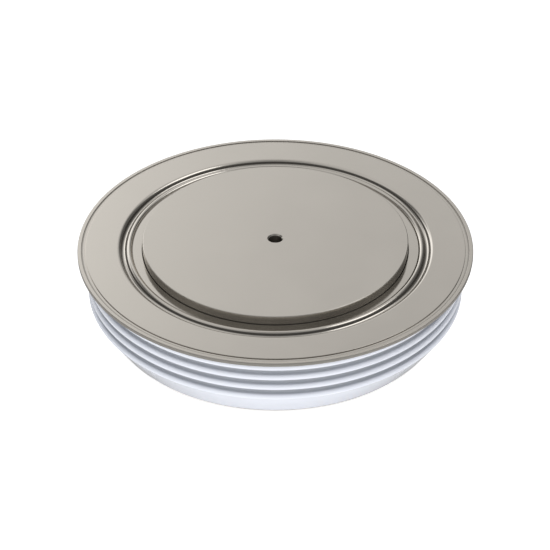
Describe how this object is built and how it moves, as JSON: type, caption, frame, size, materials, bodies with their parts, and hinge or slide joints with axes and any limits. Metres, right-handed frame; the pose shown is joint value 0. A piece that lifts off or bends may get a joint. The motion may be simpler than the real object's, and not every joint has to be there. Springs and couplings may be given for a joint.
{
  "type": "rectifier diode",
  "caption": "Flat round capsule diode: plated pole discs with centring holes, thin corrugated flanges and a ribbed white ceramic ring, sealed round a silicon wafer clamped between the poles.",
  "frame": {"origin": "centre of the lower contact face, which the part stands on", "axes": "+Z along the axis of the disc, from the lower contact face to the upper one beside the wide weld ring; X and Y are free because the part is round"},
  "size_m": [0.1116, 0.1116, 0.026],
  "materials": {
    "pole_nickel": "finely turned copper with a satin nickel plate",
    "sheet_nickel": "smooth pressed sheet with a semi-bright nickel plate",
    "ring_nickel": "semi-bright nickel plate with a turned lip",
    "braze": "matt silver-copper braze",
    "glazed_alumina": "white alumina with a clear gloss glaze on the ribs",
    "silver": "soft rolled silver foil",
    "molybdenum": "ground grey molybdenum",
    "silicon": "polished dark silicon",
    "silicone_rubber": "milky cast silicone rubber",
    "fluoropolymer": "smooth white fluoropolymer"
  },
  "bodies": {
    "root": {"top_pole_piece": "pole_nickel", "top_diaphragm": "sheet_nickel", "top_pole_braze": "braze", "weld_ring": "ring_nickel", "weld_ring_braze": "braze", "ceramic_ring": "glazed_alumina", "bottom_ring_braze": "braze", "bottom_diaphragm": "sheet_nickel", "bottom_pole_braze": "braze", "bottom_pole_piece": "pole_nickel", "lower_silver_foil": "silver", "lower_molybdenum_disc": "molybdenum", "silicon_wafer": "silicon", "edge_rubber": "silicone_rubber", "centring_ring": "fluoropolymer", "upper_molybdenum_disc": "molybdenum", "upper_silver_foil": "silver"}
  },
  "joints": []
}
